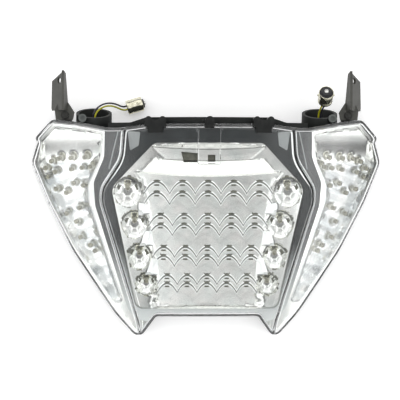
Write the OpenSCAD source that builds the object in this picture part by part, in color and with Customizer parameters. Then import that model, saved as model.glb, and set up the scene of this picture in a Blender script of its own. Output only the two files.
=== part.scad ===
// Wide V-shaped tail light: clear crowned lens over a centre lamp and two signal wings.
// It lies on its back: +Z points out of the lens, +Y to the edge with the two mounting ears,
// X is across. Left and right are as seen from the lens side. The origin is the middle of its
// box, at the feet. Millimetres throughout.

/* [Outline] */
// Half of the lens width, at the widest point of the wings
wing_x = 177.5; // [160:1:190]
// Height of the widest point of the wings
wing_y = 41; // [30:1:50]
// Outer top corner of the wings, across
shoulder_x = 156; // [148:1:160]
// Outer top corner of the wings, up
shoulder_y = 84; // [82:1:88]
// Top edge of the lens at its middle
top_y = 77.7; // [74:0.1:80]
// Lowest point of the two tips before rounding
tip_y = -138; // [-160:1:-130]
// Distance of each tip from the middle
tip_x = 68.7; // [62:0.1:76]
// Bottom edge of the lens at its middle
foot_y = -114; // [-122:1:-106]
// Distance of the inner end of each tip from the middle
foot_x = 51.5; // [44:0.5:56]

/* [Lens] */
// Wall of the lens
lens_wall = 2.5; // [2:0.1:3.2]
// Depth of the lens skirt below its front
lens_depth = 14; // [10:0.5:18]
// Radius of the crown across the wings
crown_r = 300; // [270:5:400]
// Radius of the crown across the raised centre panel
panel_r = 400; // [340:5:520]
// How far the centre panel stands above the wings at the middle
panel_step = 2; // [1:0.5:4]
// Slope of the front, from the top edge down to the tips
face_tilt = 15; // [10:1:18]
// Height of the wing crown at the middle of the top edge
face_z = 92; // [86:1:110]
// Thickness of the seal under the lens skirt
seal_t = 1.5; // [1:0.1:2.5]

/* [Housing] */
// Wall of the rear housing
house_wall = 3; // [2.4:0.1:3.5]
// Thickness of the back of the housing
back_t = 2.5; // [2:0.1:4]
// How far the lens overhangs the housing
overhang = 2; // [1:0.5:2.5]
// How far the ledge runs beyond the top edge of the lens
ledge_out = 7.3; // [4:0.1:10]
// Thickness of the ledge
ledge_t = 9; // [4:0.5:14]
// Height of the rubber feet
foot_h = 3; // [2:0.5:5]
// Radius of the rubber feet
foot_r = 8; // [5:0.5:10]

/* [Ports] */
// Distance of each lead port from the middle
port_x = 114; // [108:1:118]
// Bore radius of the ports
port_bore_r = 15; // [12:0.5:16]
// Wall of the ports
port_wall = 3; // [2:0.1:3.5]
// How far the mouth stands out from the grommet
port_reach = 8; // [5:0.5:12]
// Thickness of the grommets
grommet_t = 5; // [3:0.5:8]

/* [Brackets] */
// Distance of the bracket ridge from the middle
ear_x = 144; // [141:0.5:147]
// Height of the bracket ridge above the base
ear_z = 46; // [44:0.5:50]
// Far end of the ridge
ear_tip_y = 133.2; // [126:0.1:142]
// Sheet thickness of the brackets
ear_t = 2.5; // [2:0.1:3]
// Slope of the outer leg
ear_slope = 57; // [50:1:62]
// Radius of the mounting holes
ear_hole_r = 3.1; // [2.6:0.1:4]
// Distance of the hole from the ridge, along the outer leg
ear_hole_d = 9.4; // [8:0.1:12]
// Height of the hole
ear_hole_y = 123.5; // [112:0.5:126]

/* [Lamps] */
// Depth of the centre board below the wing crown
board_depth = 30; // [27:0.5:32]
// Depth of the wing boards below the crown
wing_depth = 16; // [14:0.5:18]
// Thickness of the circuit boards
board_t = 1.6; // [1.2:0.1:2]
// Thickness of the reflector mouldings
reflector_t = 1.5; // [1.2:0.1:2]
// Radius of the LED bodies
led_r = 2.5; // [1.5:0.1:2.8]

/* [Leads] */
// Radius of each insulated wire
wire_r = 0.9; // [0.7:0.05:1.2]
// Radius of the bayonet plug shells
plug_r = 7.5; // [7.4:0.05:7.6]
// Length of the plug shells
plug_l = 16.7; // [14:0.1:18]

/* [Hidden] */
$fn = 48;

crown_fn = 360;
reach = 500;
tall = 130;
joint_depth = lens_depth + seal_t;
gap = 0.3;

// ---- plan outlines: each row is [x, y, corner radius], the right half from top to bottom ----

lens_half = [
    [58, top_y, 30], [84, top_y - 3.2, 14], [100, top_y - 3.2, 20], [133, shoulder_y - 2.8, 40],
    [shoulder_x, shoulder_y, 8], [wing_x - 4, wing_y + 25, 8], [wing_x - 6.5, wing_y + 20, 2],
    [wing_x, wing_y, 12], [wing_x - 16.5, wing_y - 40, 90], [wing_x - 41.5, wing_y - 88, 160],
    [wing_x - 84.5, wing_y - 152, 120], [tip_x, tip_y, 8], [foot_x, foot_y, 4]];

// The raised centre panel. Its lower end runs past the lens outline, which trims it.
panel_half = [
    [84.5, top_y + 10, 1], [88, 44, 30], [107, 15, 22], [107, 0, 22],
    [tip_x + 2, -121, 60], [tip_x - 2, tip_y - 10, 1]];

window_half = [[54, 59.5, 9], [98, 14, 16], [95, 0, 20], [72, -106, 9]];

// The wing pocket lies on the right of the middle by itself, so its corners go all the way round.
wing_pocket = [
    [104.5, 69.5, 3], [133, shoulder_y - 8.5, 30], [shoulder_x - 3.5, shoulder_y - 6.5, 6],
    [wing_x - 10.5, wing_y + 22, 6], [wing_x - 6.5, wing_y, 10], [wing_x - 22.5, wing_y - 40, 70],
    [wing_x - 47, wing_y - 88, 120], [94, -100, 4], [84, -100, 4], [118.5, 2, 16], [119, 19, 16],
    [107, 44, 22]];

function mirrored(half) = concat(half,
    [for (i = [len(half) - 1:-1:0]) [-half[i][0], half[i][1], half[i][2]]]);
function unit(v) = v / norm(v);
function turn(a, b) = a[0] * b[1] - a[1] * b[0];

// Outline moved inwards by d. Its corners run clockwise, so inwards is to the right.
function inset(pts, d) = [for (i = [0:len(pts) - 1])
    let (n = len(pts), p = pts[i],
         a = unit(xy(p) - xy(pts[(i + n - 1) % n])), b = unit(xy(pts[(i + 1) % n]) - xy(p)),
         na = [a[1], -a[0]], nb = [b[1], -b[0]],
         q = xy(p) + (na + nb) * d / (1 + na * nb))
    [q[0], q[1], max(0.5, p[2] + sign(turn(a, b)) * d)]];
function xy(p) = [p[0], p[1]];

// Outline with each corner rounded to its own radius, as far as its two sides allow.
function rounded(pts) = [for (i = [0:len(pts) - 1])
    let (n = len(pts), p = xy(pts[i]),
         back = xy(pts[(i + n - 1) % n]) - p, ahead = xy(pts[(i + 1) % n]) - p,
         u = unit(back), v = unit(ahead),
         half = acos(u * v) / 2,
         run = min(pts[i][2] / tan(half), 0.49 * norm(back), 0.49 * norm(ahead)),
         r = run * tan(half), steps = max(1, ceil((180 - 2 * half) / 9)),
         centre = p + unit(u + v) * r / sin(half), s = p + u * run, e = p + v * run)
    for (k = [0:steps])
        let (t = k / steps, w = (180 - 2 * half),
             m = (s - centre) * sin((1 - t) * w) / sin(w) + (e - centre) * sin(t * w) / sin(w))
        centre + m];

lens_pts = mirrored(lens_half);
window_pts = mirrored(window_half);

ledge_y = top_y + ledge_out;
ledge_pts = [[62, ledge_y], [78, ledge_y - 5], [100, ledge_y - 5], [100, top_y - 12],
    [-100, top_y - 12], [-100, ledge_y - 5], [-78, ledge_y - 5], [-62, ledge_y]];

// ---- reference surfaces ----

// Frame whose XY plane lies on the sloping front, at the middle of the top edge.
module face() { translate([0, top_y, face_z]) rotate([face_tilt, 0, 0]) children(); }

// Everything below a crown of radius r that passes height w above the front plane.
module under(r, w) {
    face() translate([0, 0, w - r]) rotate([90, 0, 0])
        cylinder(r = r, h = 2 * reach, center = true, $fn = crown_fn);
}

// Everything below the plane at height w above the front plane.
module under_plane(w) { face() translate([-reach, -reach, w - reach]) cube([2 * reach, 2 * reach, reach]); }

// Frame of one wing board: tangent to the crown at wing_turn, z = 0 at the lens front.
wing_turn = 27.5;
module wing_frame() {
    face() translate([0, 0, -crown_r]) rotate([0, wing_turn, 0]) translate([0, 0, crown_r]) children();
}
module under_wing_plane(w) {
    wing_frame() translate([-reach, -reach, w - reach]) cube([2 * reach, 2 * reach, reach]);
}

module plan(pts) { linear_extrude(height = tall) polygon(rounded(pts)); }
module both() { children(); mirror([1, 0, 0]) children(); }

// ---- lens and seal ----

module lens_solid(d) {
    intersection() { plan(inset(lens_pts, d)); under(crown_r, -d); }
    intersection() {
        plan(inset(lens_pts, d));
        plan(inset(mirrored(panel_half), d));
        under(panel_r, panel_step - d);
    }
}

module lens() {
    color("#e8eef0") difference() {
        lens_solid(0);
        lens_solid(lens_wall);
        under(crown_r, -lens_depth);
    }
}

module lens_seal() {
    color("#1c1d1d") difference() {
        intersection() { plan(inset(lens_pts, 0.4)); under(crown_r, -lens_depth); }
        under(crown_r, -joint_depth);
        translate([0, 0, -1]) plan(inset(lens_pts, overhang + house_wall));
    }
}

// ---- housing ----

pad_z = foot_h + back_t;
feet_at = [[105, 42], [52, -78]];
centre_screws = [[58, -52], [50, -182]];
wing_screws = [[-2, -34], [-24, -158]];
boss_r = 4;
screw_r = 1.5;
screw_hole_r = 1.6;
screw_grip = 8;

module rear_housing() {
    color("#3a3d3b") difference() {
        union() {
            difference() {
                house_block(foot_h, overhang);
                translate([0, 0, pad_z]) plan(inset(lens_pts, overhang + house_wall));
            }
            ledge();
            bosses();
            both() ear_pad();
        }
        both() port_axis() translate([0, 0, -port_through])
            cylinder(r = port_bore_r - port_lip, h = 2 * port_through);
        screw_holes();
        both() ear_screw(ear_screw_r + ear_screw_clear, 0);
    }
}

module house_block(z, d) {
    intersection() { translate([0, 0, z]) plan(inset(lens_pts, d)); under(crown_r, -joint_depth); }
}

module ledge() {
    difference() {
        intersection() { linear_extrude(height = tall) polygon(ledge_pts); under(crown_r, -joint_depth); }
        under(crown_r, -joint_depth - ledge_t);
        translate([0, 0, -1]) plan(inset(lens_pts, overhang + house_wall));
    }
}

module bosses() {
    intersection() {
        house_block(foot_h, overhang);
        union() {
            intersection() {
                both() face() for (p = centre_screws) translate([p[0], p[1], -reach])
                    cylinder(r = boss_r, h = reach);
                under_plane(-board_depth - board_t);
            }
            both() intersection() {
                wing_frame() for (p = wing_screws) translate([p[0], p[1], -reach])
                    cylinder(r = boss_r, h = reach);
                under_wing_plane(-wing_depth - board_t);
            }
        }
    }
}

// The holes, or with r and head the screws themselves, that hold boards and reflectors to the bosses.
module board_fixings(r, over) {
    both() {
        face() for (p = centre_screws)
            translate([p[0], p[1], -board_depth - board_t - screw_grip])
                cylinder(r = r, h = screw_grip + over);
        wing_frame() for (p = wing_screws)
            translate([p[0], p[1], -wing_depth - board_t - screw_grip])
                cylinder(r = r, h = screw_grip + over);
    }
}
module screw_holes() { board_fixings(screw_hole_r, board_t + reflector_t + 1); }

module board_screws() {
    color("#b9bcbd") {
        board_fixings(screw_r, board_t + reflector_t);
        both() {
            face() for (p = centre_screws)
                translate([p[0], p[1], -board_depth + reflector_t]) screw_head(screw_r);
            wing_frame() for (p = wing_screws)
                translate([p[0], p[1], -wing_depth + reflector_t]) screw_head(screw_r);
        }
    }
}

// Pan head with a round drive recess, standing on z = 0.
module screw_head(r) {
    difference() {
        cylinder(r = 2 * r, h = 1.3 * r);
        translate([0, 0, 0.6 * r]) cylinder(r = 0.8 * r, h = r);
    }
}

module rear_feet() {
    color("#232424") both() for (p = feet_at) translate([p[0], p[1], 0]) cylinder(r = foot_r, h = foot_h);
}

// ---- lead ports ----

// Frame whose origin is the middle of the grommet's front, z along the port's axis to its mouth.
grommet_y = 83;
grommet_z = 32;
port_rise = atan2(12, 35);
port_lip = 3;
port_through = 14;
module port_axis() { translate([port_x, grommet_y, grommet_z]) rotate([port_rise - 90, 0, 0]) children(); }

module port() {
    color("#333635") difference() {
        port_axis() translate([0, 0, -24]) cylinder(r = port_bore_r + port_wall, h = 24 + port_reach);
        port_axis() translate([0, 0, -grommet_t]) cylinder(r = port_bore_r, h = 60);
        port_axis() translate([0, 0, -30]) cylinder(r = port_bore_r - port_lip, h = 60);
        translate([0, 0, -1]) plan(inset(lens_pts, overhang));
    }
}
module right_port() { port(); }
module left_port() { mirror([1, 0, 0]) port(); }

module grommet() {
    color("#1a1b1b") difference() {
        port_axis() translate([0, 0, -grommet_t]) cylinder(r = port_bore_r, h = grommet_t);
        translate([0, 0, -1]) plan(inset(lens_pts, overhang));
    }
}
module right_grommet() { grommet(); }
module left_grommet() { mirror([1, 0, 0]) grommet(); }

// Small round boss standing on the outer shoulder of each port.
vent_r = 4;
vent_at = [port_x + 11.5, 85];
vent_top = 54;
module vent_bosses() {
    color("#6a6d6c") both() difference() {
        translate([vent_at[0], vent_at[1], grommet_z]) cylinder(r = vent_r, h = vent_top - grommet_z);
        port_axis() translate([0, 0, -24]) cylinder(r = port_bore_r + port_wall, h = 24 + port_reach);
        translate([vent_at[0], vent_at[1], vent_top - 2]) cylinder(r = vent_r - 1.6, h = 3);
    }
}

// ---- bezel and reflectors ----

bezel_top = 4;
bezel_t = 2;
tray_top = bezel_top + bezel_t;
hole_r = led_r + 0.7;

// The bezel covers the whole front but for the centre window and the two wing pockets.
module bezel() {
    color("#5c6062") difference() {
        intersection() {
            plan(inset(lens_pts, lens_wall + 1));
            under(crown_r, -bezel_top);
        }
        under(crown_r, -bezel_top - bezel_t);
        plan(window_pts);
        both() plan(inset(wing_pocket, -gap));
    }
}

// Each centre row: height down the board, spacing of its five middle lamps, place of its end lamps.
centre_rows = [[-67, 25.6, 80], [-101, 23.6, 73], [-134.5, 22, 68], [-164, 20, 61]];
centre_lamps = [for (row = centre_rows) each concat([for (k = [-2:2]) [k * row[1], row[0]]],
    [[-row[2], row[0] - 4], [row[2], row[0] - 4]])];

// Lamps of the right wing: place across and down its board.
wing_lamps = [
    [32.5, -58.8], [25.7, -51], [16.7, -47.2], [3.4, -45.2], [-12.4, -42.7], [-21.9, -47.2],
    [30, -67.6], [21.7, -61.7], [3, -56.8], [-9.2, -53.9], [-17.8, -51.9],
    [20.5, -79.3], [8.6, -81.8], [0.6, -71], [-10.6, -71.9],
    [-6.4, -95.9], [8.6, -103.5], [-2.7, -110.4],
    [-7.2, -126.4], [-18.5, -133.3], [-23.8, -138.5]];

module centre_reflector() {
    color("#dfe1e2") difference() {
        intersection() { plan(inset(window_pts, 0.3 - reflector_t)); under(crown_r, -tray_top); }
        difference() {
            plan(inset(window_pts, 0.3));
            under_plane(-board_depth + reflector_t);
        }
        under_plane(-board_depth);
        face() for (p = centre_lamps) translate([p[0], p[1], -board_depth - 1]) cylinder(r = hole_r, h = 4);
        screw_holes();
    }
}

// Plan of a wing pocket moved inwards by d, which also keeps clear of the housing wall.
module pocket(d) {
    intersection() { plan(inset(wing_pocket, d)); plan(inset(lens_pts, overhang + house_wall + gap + d)); }
}

module right_reflector() {
    color("#dfe1e2") difference() {
        intersection() { pocket(0); under(crown_r, -bezel_top); }
        difference() {
            pocket(reflector_t);
            under_wing_plane(-wing_depth + reflector_t);
        }
        under_wing_plane(-wing_depth);
        wing_frame() for (p = wing_lamps)
            translate([p[0], p[1], -wing_depth - 1]) cylinder(r = hole_r, h = 4);
        screw_holes();
    }
}
module left_reflector() { mirror([1, 0, 0]) right_reflector(); }

// ---- boards and LEDs ----

board_margin = 3;
module centre_board() {
    color("#2f6b3c") difference() {
        intersection() { plan(inset(window_pts, board_margin)); under_plane(-board_depth); }
        under_plane(-board_depth - board_t);
        screw_holes();
    }
}

module right_board() {
    color("#2f6b3c") difference() {
        intersection() { pocket(board_margin); under_wing_plane(-wing_depth); }
        under_wing_plane(-wing_depth - board_t);
        screw_holes();
    }
}
module left_board() { mirror([1, 0, 0]) right_board(); }

// Round LED with its flange on z = 0.
led_h = 6;
module led() {
    cylinder(r = led_r + 0.4, h = 1);
    cylinder(r = led_r, h = led_h);
    translate([0, 0, led_h]) sphere(r = led_r);
}
module centre_leds() {
    color("#f4f6f2") face() for (p = centre_lamps) translate([p[0], p[1], -board_depth]) led();
}
module right_leds() {
    color("#f2e9d2") wing_frame() for (p = wing_lamps) translate([p[0], p[1], -wing_depth]) led();
}
module left_leds() { mirror([1, 0, 0]) right_leds(); }

// Resistors lie on the back of the centre board, between its screws.
resistor_r = 1.2;
resistor_l = 6.5;
module resistors() {
    color("#c8b48a") face() for (y = [-82, -115]) for (k = [-3:3])
        translate([k * 14, y, -board_depth - board_t - resistor_r]) rotate([0, 90, 0])
            cylinder(r = resistor_r, h = resistor_l, center = true);
}

// ---- clips and hook over the top edge ----

clip_x = 53.5;
clip_w = 20.6;
clip_foot_w = 15.5;
clip_over = 9;
clip_t = 2.6;

// A moulding that stands on the ledge and reaches over the lens front, cut to its plan outline.
module hooked(t) {
    difference() {
        intersection() { linear_extrude(height = tall) children(); under(panel_r, panel_step + t); }
        intersection() {
            translate([-reach, -reach, 0]) cube([2 * reach, reach + top_y + gap, tall]);
            under(panel_r, panel_step + 0.2);
        }
        under(crown_r, -joint_depth);
    }
}

module clip_outline() {
    difference() {
        union() {
            translate([-clip_w / 2, top_y - clip_over / 3]) square([clip_w, ledge_out - 3 + clip_over / 3]);
            translate([-clip_foot_w / 2, top_y - clip_over]) square([clip_foot_w, clip_over]);
            for (s = [-1, 1]) translate([s * (clip_w / 2 - 3.4), ledge_y - 3.4]) circle(r = 3.4);
        }
        translate([0, ledge_y]) circle(r = 3.6);
    }
}
module right_clip() { color("#303332") hooked(clip_t) translate([clip_x, 0]) clip_outline(); }
module left_clip() { mirror([1, 0, 0]) right_clip(); }

module locating_hook() {
    color("#303332") hooked(1.6) {
        translate([-4.8, top_y - 2.5]) square([9.6, ledge_out - 1.5]);
        translate([0, ledge_y - 4.8]) circle(r = 4.8);
    }
}

// ---- mounting brackets ----

ear_pad_t = 5;
ear_pad_z = 33;
ear_pad_end = 94;
ear_screw_at = [ear_x - 1, 88.5];
ear_screw_r = 2.4;
ear_screw_clear = 0.2;
ear_foot_y = 84;
ear_root_y = 93.5;

// Pad on the outside of the housing that carries the bracket's foot.
module ear_pad() {
    difference() {
        translate([ear_x - 8, shoulder_y - 10, ear_pad_z - ear_pad_t])
            cube([13, ear_pad_end - shoulder_y + 10, ear_pad_t]);
        plan(inset(lens_pts, overhang + house_wall));
    }
}
module ear_screw(r, top) {
    translate([ear_screw_at[0], ear_screw_at[1], ear_pad_z - ear_pad_t])
        cylinder(r = r, h = ear_pad_t + ear_t + top);
}

module right_bracket() {
    color("#5b5c58") difference() {
        union() {
            intersection() {
                ear_frame() cube([24, reach, ear_t]);
                linear_extrude(height = tall) polygon([[ear_x, ear_tip_y], [ear_x + 12.5, ear_tip_y - 10],
                    [ear_x + 13, ear_tip_y - 37], [ear_x + 12.5, ear_root_y], [ear_x, ear_root_y]]);
            }
            inner_leg();
            ear_foot();
        }
        ear_frame() translate([ear_hole_d, ear_hole_y, -1]) cylinder(r = ear_hole_r, h = ear_t + 2);
        ear_screw(ear_screw_r + ear_screw_clear, 1);
    }
}
module left_bracket() { mirror([1, 0, 0]) right_bracket(); }

// Frame of the outer leg: x down the slope from the ridge, z out of the sheet's inner face.
module ear_frame() {
    translate([ear_x, 0, ear_z]) rotate([0, ear_slope, 0]) translate([0, 0, -ear_t]) children();
}

module inner_leg() {
    translate([ear_x, 0, ear_z]) rotate([0, 108, 0]) linear_extrude(height = ear_t)
        polygon([[0, ear_tip_y], [6, ear_tip_y - 3], [13, ear_tip_y - 34],
            [13, ear_root_y], [0, ear_root_y]]);
}

module ear_foot() {
    translate([ear_x, 0, ear_pad_z]) linear_extrude(height = ear_t)
        polygon([[-9, ear_foot_y], [-10.5, ear_root_y - 2], [-4, ear_root_y + 8], [6, ear_root_y + 8],
            [9.5, ear_root_y], [8.5, ear_foot_y]]);
}

washer_t = 1;
washer_r = 4.2;
ear_head_r = 3.6;
ear_head_h = 2.8;
module bracket_washers() {
    color("#a9abaa") both() difference() {
        translate([ear_screw_at[0], ear_screw_at[1], ear_pad_z + ear_t]) cylinder(r = washer_r, h = washer_t);
        ear_screw(ear_screw_r + ear_screw_clear, 2);
    }
}
module bracket_screws() {
    color("#8d908f") both() {
        ear_screw(ear_screw_r, washer_t);
        translate([ear_screw_at[0], ear_screw_at[1], ear_pad_z + ear_t + washer_t])
            cylinder(r = ear_head_r, h = ear_head_h, $fn = 6);
    }
}

// ---- leads and plugs ----

// Routes of the wires, from the grommet to the plug.
left_yellow_route = [[-113, 83, 32], [-113, 86.5, 33.2], [-112.2, 89.8, 33.6], [-110.4, 92.8, 32.8],
    [-107.8, 95.2, 31], [-104.8, 97, 28.4], [-101.6, 98.2, 25.4], [-98.4, 98.7, 22], [-95.2, 98.6, 18.4],
    [-92, 97.9, 14.8], [-89, 96.9, 11.4], [-86, 95.8, 8.8], [-82.6, 95.3, 7.5], [-80.2, 96, 7.5]];
left_black_route = [[-115, 83, 32], [-115, 86.5, 33.2], [-114.4, 90, 34.2], [-112.8, 93.4, 34],
    [-110.2, 96.4, 32.6], [-107, 98.8, 30.2], [-103.6, 100.4, 27.2], [-100, 101.3, 23.6],
    [-96.4, 101.5, 19.8],
    [-92.8, 101.1, 16], [-89.6, 100.2, 12.4], [-86.8, 99.2, 9.4], [-83.6, 98.7, 7.5], [-81.2, 99.4, 7.5]];
right_yellow_route = [
    [113, 83, 32], [113, 86.5, 33.2], [113.2, 90, 34.7], [113.8, 93, 36.9], [114.6, 95.6, 39.6],
    [115.4, 97.8, 42.8], [116, 99.4, 46.2], [116.3, 100.6, 49.6], [116.4, 101.6, 52],
    [116.4, 102.4, 53.5]];
right_black_route = [
    [115, 83, 32], [115, 86.5, 33.2], [115.2, 90, 34.7], [115.8, 93, 36.9], [116.8, 95.6, 39.6],
    [117.8, 97.8, 42.8], [118.4, 99.4, 46.2], [118.7, 100.6, 49.6], [118.8, 101.6, 52],
    [118.8, 102.4, 53.5]];

// Tube of radius r along a route, with a ring of wire_sides points at each of its points.
wire_sides = 8;
function along(p, i) = unit(p[min(i + 1, len(p) - 1)] - p[max(i - 1, 0)]);
function across(t) = unit(cross(t, [0.31, -0.17, 0.93]));
module tube(p, r) {
    n = len(p);
    rings = [for (i = [0:n - 1]) let (t = along(p, i), u = across(t), v = cross(t, u))
        for (k = [0:wire_sides - 1])
            p[i] + r * (cos(360 * k / wire_sides) * u + sin(360 * k / wire_sides) * v)];
    sides = [for (i = [0:n - 2]) for (k = [0:wire_sides - 1])
        let (a = i * wire_sides + k, b = i * wire_sides + (k + 1) % wire_sides)
        each [[a, a + wire_sides, b], [b, a + wire_sides, b + wire_sides]]];
    polyhedron(rings, concat(sides, [[for (k = [0:wire_sides - 1]) k],
        [for (k = [wire_sides - 1:-1:0]) (n - 1) * wire_sides + k]]));
}
module left_black_wire() { color("#2c2a38") tube(left_black_route, wire_r); }
module left_yellow_wire() { color("#b5b21f") tube(left_yellow_route, wire_r); }
module right_black_wire() { color("#2c2a38") tube(right_black_route, wire_r); }
module right_yellow_wire() { color("#b5b21f") tube(right_yellow_route, wire_r); }

// Bayonet-base plug along +z: wire end on z = 0, contact at the far end.
plug_wall = 0.8;
shell_floor = 2;
pin_r = 1;
pin_out = 1.2;
pin_back = 5.5;
insulator_l = 2.6;
insulator_r = 4.6;
insulator_sunk = 0.8;
contact_r = 2.4;
contact_h = 2;
contact_dome_r = 3;
module plug_shell() {
    difference() {
        union() {
            cylinder(r = plug_r, h = plug_l);
            for (s = [-1, 1]) translate([0, 0, plug_l - pin_back]) rotate([0, s * 90, 0])
                cylinder(r = pin_r, h = plug_r + pin_out);
        }
        translate([0, 0, shell_floor]) cylinder(r = plug_r - plug_wall, h = plug_l);
    }
}
module plug_insulator() {
    translate([0, 0, shell_floor])
        cylinder(r = plug_r - plug_wall, h = plug_l - shell_floor - insulator_sunk);
    translate([0, 0, plug_l - insulator_sunk]) cylinder(r = insulator_r, h = insulator_l);
}
module plug_contact() {
    translate([0, 0, plug_l - insulator_sunk + insulator_l]) intersection() {
        cylinder(r = contact_r, h = contact_h);
        translate([0, 0, 1.4 - contact_dome_r]) sphere(r = contact_dome_r);
    }
}

// The left plug lies on the base plane, the right one leans out over its port.
module left_plug() { translate([-80.6, 97.4, plug_r]) rotate([0, 90, atan2(7, 24)]) children(); }
module right_plug() { translate([117.6, 102.4, 53.5]) rotate([-atan2(8, 15), 0, 0]) children(); }
module left_plug_shell() { color("#c9c6ae") left_plug() plug_shell(); }
module left_plug_insulator() { color("#1d1d1f") left_plug() plug_insulator(); }
module left_plug_contact() { color("#d9d9d4") left_plug() plug_contact(); }
module right_plug_shell() { color("#c9c6ae") right_plug() plug_shell(); }
module right_plug_insulator() { color("#1d1d1f") right_plug() plug_insulator(); }
module right_plug_contact() { color("#d9d9d4") right_plug() plug_contact(); }

rear_housing();
left_port();
right_port();
rear_feet();
lens_seal();
lens();
bezel();
centre_reflector();
left_reflector();
right_reflector();
centre_board();
left_board();
right_board();
centre_leds();
left_leds();
right_leds();
resistors();
board_screws();
left_clip();
right_clip();
locating_hook();
vent_bosses();
left_bracket();
right_bracket();
bracket_screws();
bracket_washers();
left_grommet();
right_grommet();
left_black_wire();
left_yellow_wire();
right_black_wire();
right_yellow_wire();
left_plug_shell();
left_plug_insulator();
left_plug_contact();
right_plug_shell();
right_plug_insulator();
right_plug_contact();
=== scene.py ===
import math

import bmesh
import bpy
import numpy as np
from mathutils import Matrix, Vector
from mathutils.geometry import delaunay_2d_cdt


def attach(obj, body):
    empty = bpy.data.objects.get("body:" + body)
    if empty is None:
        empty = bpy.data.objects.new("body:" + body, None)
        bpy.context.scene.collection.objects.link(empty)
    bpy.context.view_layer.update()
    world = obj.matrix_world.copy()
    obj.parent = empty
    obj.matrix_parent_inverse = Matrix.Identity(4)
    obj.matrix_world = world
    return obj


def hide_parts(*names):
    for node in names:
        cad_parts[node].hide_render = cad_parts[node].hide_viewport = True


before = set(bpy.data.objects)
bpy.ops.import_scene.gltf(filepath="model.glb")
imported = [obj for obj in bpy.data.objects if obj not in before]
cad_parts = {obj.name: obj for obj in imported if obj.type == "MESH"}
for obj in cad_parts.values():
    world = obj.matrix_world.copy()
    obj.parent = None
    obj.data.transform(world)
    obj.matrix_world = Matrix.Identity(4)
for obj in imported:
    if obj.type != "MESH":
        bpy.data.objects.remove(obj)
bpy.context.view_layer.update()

# Clear V-shaped LED tail light, lying on its back. Shapes are worked out in millimetres and
# turned to metres when each mesh is made. X is across, Y to the mounting ears, Z out of the lens.

MM = 0.001

# ---- camera -----------------------------------------------------------------------------------

VIEW_WIDTH = 400      # what the frame takes in at the target, mm
FOCAL, SENSOR = 200, 36
target = Vector((-8, 3, 55))
back = Vector((-0.045, -0.012, 1)).normalized()   # from the target to the camera, nearly straight up
right = Vector((0, 1, 0)).cross(back).normalized()
up = back.cross(right)

camera = bpy.data.objects.new("camera", bpy.data.cameras.new("camera"))
camera.data.lens, camera.data.sensor_width = FOCAL, SENSOR
camera.data.clip_end = 20
spot = (target + back * VIEW_WIDTH * FOCAL / SENSOR) * MM
camera.matrix_world = Matrix.Translation(spot) @ Matrix((right, up, back)).transposed().to_4x4()
bpy.context.scene.collection.objects.link(camera)
bpy.context.scene.camera = camera

# ---- colours and materials --------------------------------------------------------------------


def rgb(code):
    """An sRGB hex colour as linear RGBA."""
    parts = [int(code[i:i + 2], 16) / 255 for i in (1, 3, 5)]
    return (*[c / 12.92 if c <= 0.04045 else ((c + 0.055) / 1.055) ** 2.4 for c in parts], 1)


def add(tree, kind, values=None, **settings):
    """Adds a node with its settings. values fills its inputs, each with a value or another socket."""
    made = tree.nodes.new("ShaderNode" + kind)
    for name, value in settings.items():
        setattr(made, name, value)
    for name, value in (values or {}).items():
        if isinstance(value, bpy.types.NodeSocket):
            tree.links.new(value, made.inputs[name])
        else:
            made.inputs[name].default_value = value
    return made


def bands(made, stops):
    """Sets a colour ramp's stops from (place, colour) pairs."""
    ramp = made.color_ramp
    while len(ramp.elements) < len(stops):
        ramp.elements.new(1)
    for element, (place, colour) in zip(ramp.elements, stops):
        element.position, element.color = place, colour


def finish(name, light, dark, grain_mm, bump, patch_mm=14, stretch=(1, 1, 1), clear=False, fade=None,
           **surface):
    """A material whose colour wanders between two hex values in patches, with a grain raised by bump mm.

    fade is (hex value, y where it starts, y where it is full): the colour turns to it down the part."""
    made = bpy.data.materials.new(name)
    made.use_nodes = True
    tree = made.node_tree
    tree.nodes.clear()
    place = add(tree, "TexCoord").outputs["Object"]
    run = add(tree, "Mapping", {"Vector": place, "Scale": stretch}).outputs["Vector"]
    patches = add(tree, "TexNoise", {"Vector": place, "Scale": 1 / (patch_mm * MM), "Detail": 3})
    tone = add(tree, "ValToRGB", {"Fac": patches.outputs["Fac"]})
    bands(tone, [(0.35, rgb(dark)), (0.65, rgb(light))])
    colour = tone.outputs["Color"]
    if fade:
        down = add(tree, "SeparateXYZ", {"Vector": place}).outputs["Y"]
        full = add(tree, "MapRange", {
            "Value": down, "From Min": fade[1] * MM, "From Max": fade[2] * MM}).outputs["Result"]
        colour = add(tree, "Mix", {"Factor": full, 6: colour, 7: rgb(fade[0])}, data_type="RGBA").outputs[2]
    grain = add(tree, "TexNoise", {"Vector": run, "Scale": 1 / (grain_mm * MM), "Detail": 2})
    raised = add(tree, "Bump", {"Height": grain.outputs["Fac"], "Distance": bump * MM, "Strength": 1})
    skin = add(tree, "BsdfPrincipled", {
        "Base Color": colour, "Normal": raised.outputs["Normal"], **surface})
    shader = skin.outputs["BSDF"]
    if clear:
        # light passes straight through to what lies behind, so a clear shell casts no black shadow
        path = add(tree, "LightPath")
        through = add(tree, "BsdfTransparent", {"Color": rgb("#f6f8f8")})
        shader = add(tree, "MixShader", {
            "Fac": path.outputs["Is Shadow Ray"], 1: shader, 2: through.outputs["BSDF"]}).outputs["Shader"]
    add(tree, "OutputMaterial", {"Surface": shader})
    return made


# Clear polycarbonate, injection moulded: a glassy skin with a faint slow ripple from the flow of the melt.
LENS = finish("polycarbonate, injection moulded clear", "#ffffff", "#fcfefe", 22, 0.02, clear=True,
              Roughness=0.015, IOR=1.585, **{"Transmission Weight": 1.0})

# ABS with a vacuum-evaporated aluminium skin: mirror bright, a shade warm, with the moulding's faint ripple.
CHROME = finish("ABS, vacuum metallised", "#f1f1ee", "#e6e7e4", 9, 0.02, Metallic=1.0, Roughness=0.07)

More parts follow.
